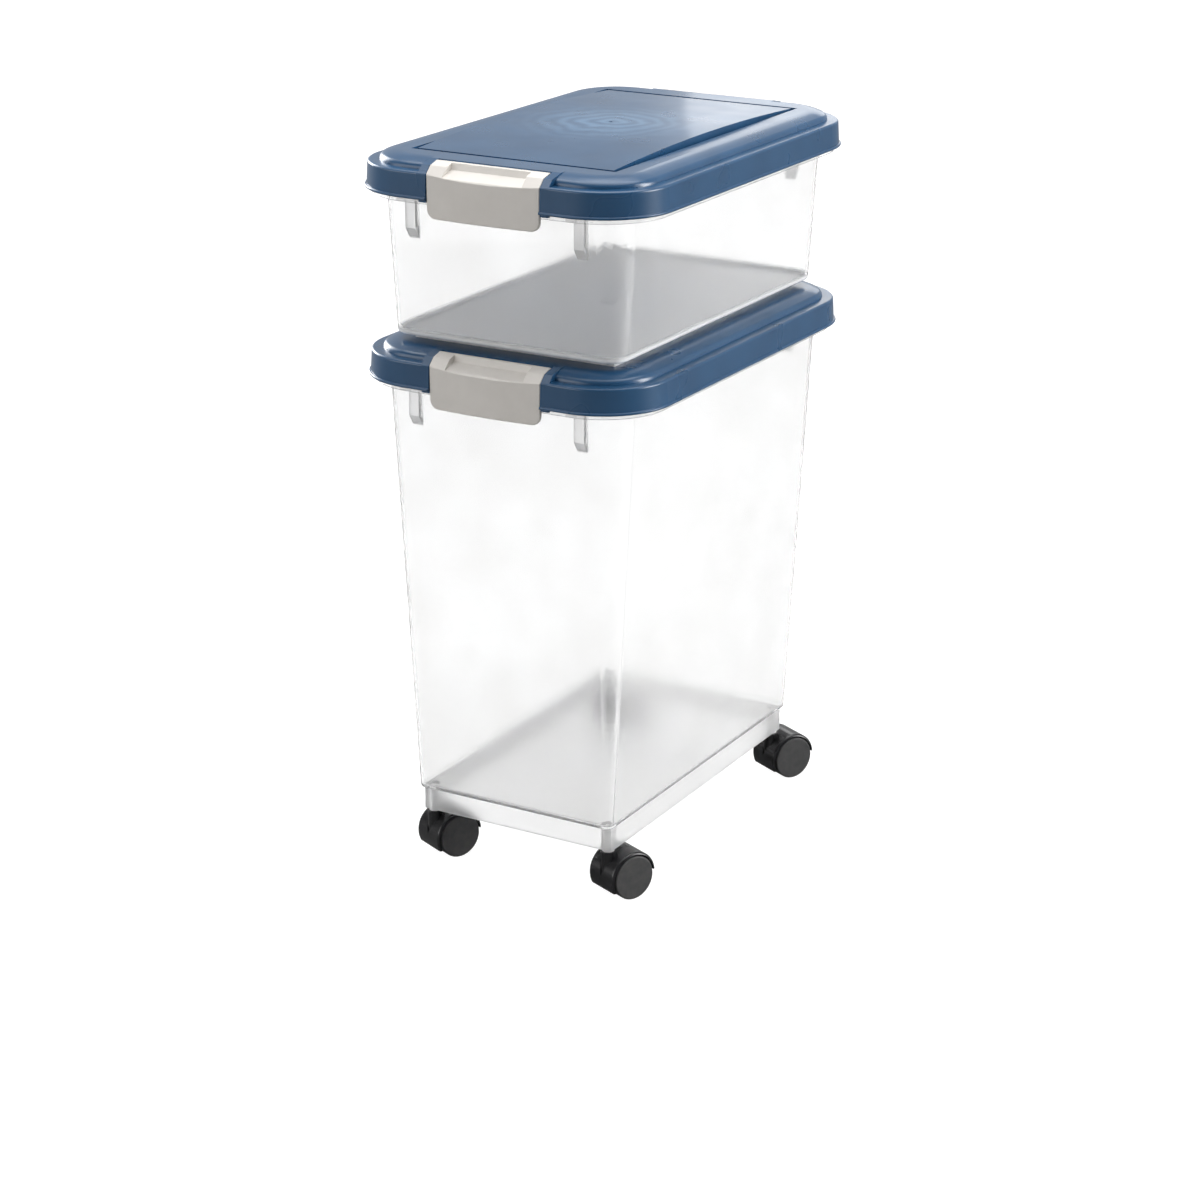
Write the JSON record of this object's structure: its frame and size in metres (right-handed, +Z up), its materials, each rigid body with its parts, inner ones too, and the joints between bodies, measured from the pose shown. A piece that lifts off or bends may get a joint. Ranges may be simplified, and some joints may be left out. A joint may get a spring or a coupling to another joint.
{
  "type": "pet food bin",
  "caption": "Tall clear food bin on swivel casters with a latched airtight lid and a shallow latched box standing in the lid's groove.",
  "frame": {"origin": "on the floor, under the middle of the bin", "axes": "+Z up, -Y towards the short front side with the front latches, +X to the right seen from the front"},
  "size_m": [0.278, 0.419, 0.6358],
  "materials": {
    "clear_plastic": "frosted clear moulded polypropylene",
    "lid_plastic": "satin navy moulded plastic",
    "latch_plastic": "satin warm grey moulded plastic",
    "seal_rubber": "soft matt seal",
    "caster_plastic": "glossy black moulded plastic",
    "wheel_plastic": "matt black moulded plastic",
    "caster_steel": "bright drawn steel"
  },
  "bodies": {
    "bin": {"bin_body": "clear_plastic"},
    "bin_lid": {"bin_lid": "lid_plastic", "bin_seal": "seal_rubber"},
    "bin_front_latch": {"bin_latch_front": "latch_plastic"},
    "bin_back_latch": {"bin_latch_back": "latch_plastic"},
    "box": {"box_body": "clear_plastic"},
    "box_lid": {"box_lid": "lid_plastic", "box_seal": "seal_rubber"},
    "box_front_latch": {"box_latch_front": "latch_plastic"},
    "box_back_latch": {"box_latch_back": "latch_plastic"},
    "front_left_caster": {"front_left_caster_hood": "caster_plastic", "front_left_caster_stem": "caster_steel", "front_left_caster_axle": "caster_steel"},
    "front_left_left_wheel": {"front_left_wheel_left": "wheel_plastic"},
    "front_left_right_wheel": {"front_left_wheel_right": "wheel_plastic"},
    "front_right_caster": {"front_right_caster_hood": "caster_plastic", "front_right_caster_stem": "caster_steel", "front_right_caster_axle": "caster_steel"},
    "front_right_left_wheel": {"front_right_wheel_left": "wheel_plastic"},
    "front_right_right_wheel": {"front_right_wheel_right": "wheel_plastic"},
    "back_left_caster": {"back_left_caster_hood": "caster_plastic", "back_left_caster_stem": "caster_steel", "back_left_caster_axle": "caster_steel"},
    "back_left_left_wheel": {"back_left_wheel_left": "wheel_plastic"},
    "back_left_right_wheel": {"back_left_wheel_right": "wheel_plastic"},
    "back_right_caster": {"back_right_caster_hood": "caster_plastic", "back_right_caster_stem": "caster_steel", "back_right_caster_axle": "caster_steel"},
    "back_right_left_wheel": {"back_right_wheel_left": "wheel_plastic"},
    "back_right_right_wheel": {"back_right_wheel_right": "wheel_plastic"}
  },
  "joints": [
    {"name": "bin_lid_lift", "type": "slide", "parent": "bin", "child": "bin_lid", "axis": [0, 0, 1], "range_m": [0, 0.06]},
    {"name": "box_lift", "type": "slide", "parent": "bin_lid", "child": "box", "axis": [0, 0, 1], "range_m": [0, 0.08]},
    {"name": "box_lid_lift", "type": "slide", "parent": "box", "child": "box_lid", "axis": [0, 0, 1], "range_m": [0, 0.06]},
    {"name": "bin_front_latch_swing", "type": "hinge", "parent": "bin_lid", "child": "bin_front_latch", "pos_m": [0, -0.1902, 0.4692], "axis": [-1, 0, 0], "range_deg": [0, 101]},
    {"name": "bin_back_latch_swing", "type": "hinge", "parent": "bin_lid", "child": "bin_back_latch", "pos_m": [0, 0.1902, 0.4692], "axis": [1, 0, 0], "range_deg": [0, 101]},
    {"name": "box_front_latch_swing", "type": "hinge", "parent": "box_lid", "child": "box_front_latch", "pos_m": [0, -0.1902, 0.6272], "axis": [-1, 0, 0], "range_deg": [0, 101]},
    {"name": "box_back_latch_swing", "type": "hinge", "parent": "box_lid", "child": "box_back_latch", "pos_m": [0, 0.1902, 0.6272], "axis": [1, 0, 0], "range_deg": [0, 101]},
    {"name": "front_left_caster_swivel", "type": "hinge", "parent": "bin", "child": "front_left_caster", "pos_m": [-0.0878, -0.1547, 0.0456], "axis": [0, 0, 1], "continuous": true},
    {"name": "front_left_left_wheel_roll", "type": "hinge", "parent": "front_left_caster", "child": "front_left_left_wheel", "pos_m": [-0.08146, -0.14111, 0.01975], "axis": [0.9063, -0.4226, 0], "continuous": true},
    {"name": "front_left_right_wheel_roll", "type": "hinge", "parent": "front_left_caster", "child": "front_left_right_wheel", "pos_m": [-0.08146, -0.14111, 0.01975], "axis": [0.9063, -0.4226, 0], "continuous": true},
    {"name": "front_right_caster_swivel", "type": "hinge", "parent": "bin", "child": "front_right_caster", "pos_m": [0.0878, -0.1547, 0.0456], "axis": [0, 0, 1], "continuous": true},
    {"name": "front_right_left_wheel_roll", "type": "hinge", "parent": "front_right_caster", "child": "front_right_left_wheel", "pos_m": [0.0939, -0.141, 0.01975], "axis": [0.9135, -0.4067, 0], "continuous": true},
    {"name": "front_right_right_wheel_roll", "type": "hinge", "parent": "front_right_caster", "child": "front_right_right_wheel", "pos_m": [0.0939, -0.141, 0.01975], "axis": [0.9135, -0.4067, 0], "continuous": true},
    {"name": "back_left_caster_swivel", "type": "hinge", "parent": "bin", "child": "back_left_caster", "pos_m": [-0.0878, 0.1547, 0.0456], "axis": [0, 0, 1], "continuous": true},
    {"name": "back_left_left_wheel_roll", "type": "hinge", "parent": "back_left_caster", "child": "back_left_left_wheel", "pos_m": [-0.08122, 0.16818, 0.01975], "axis": [0.8988, -0.4384, 0], "continuous": true},
    {"name": "back_left_right_wheel_roll", "type": "hinge", "parent": "back_left_caster", "child": "back_left_right_wheel", "pos_m": [-0.08122, 0.16818, 0.01975], "axis": [0.8988, -0.4384, 0], "continuous": true},
    {"name": "back_right_caster_swivel", "type": "hinge", "parent": "bin", "child": "back_right_caster", "pos_m": [0.0878, 0.1547, 0.0456], "axis": [0, 0, 1], "continuous": true},
    {"name": "back_right_left_wheel_roll", "type": "hinge", "parent": "back_right_caster", "child": "back_right_left_wheel", "pos_m": [0.09484, 0.16794, 0.01975], "axis": [0.8829, -0.4695, 0], "continuous": true},
    {"name": "back_right_right_wheel_roll", "type": "hinge", "parent": "back_right_caster", "child": "back_right_right_wheel", "pos_m": [0.09484, 0.16794, 0.01975], "axis": [0.8829, -0.4695, 0], "continuous": true}
  ],
  "couplings": [
    {"joint": "bin_front_latch_swing", "follows": "bin_lid_lift", "rad_per_m": 29.089},
    {"joint": "bin_back_latch_swing", "follows": "bin_lid_lift", "rad_per_m": 29.089},
    {"joint": "box_front_latch_swing", "follows": "box_lid_lift", "rad_per_m": 29.089},
    {"joint": "box_back_latch_swing", "follows": "box_lid_lift", "rad_per_m": 29.089}
  ]
}
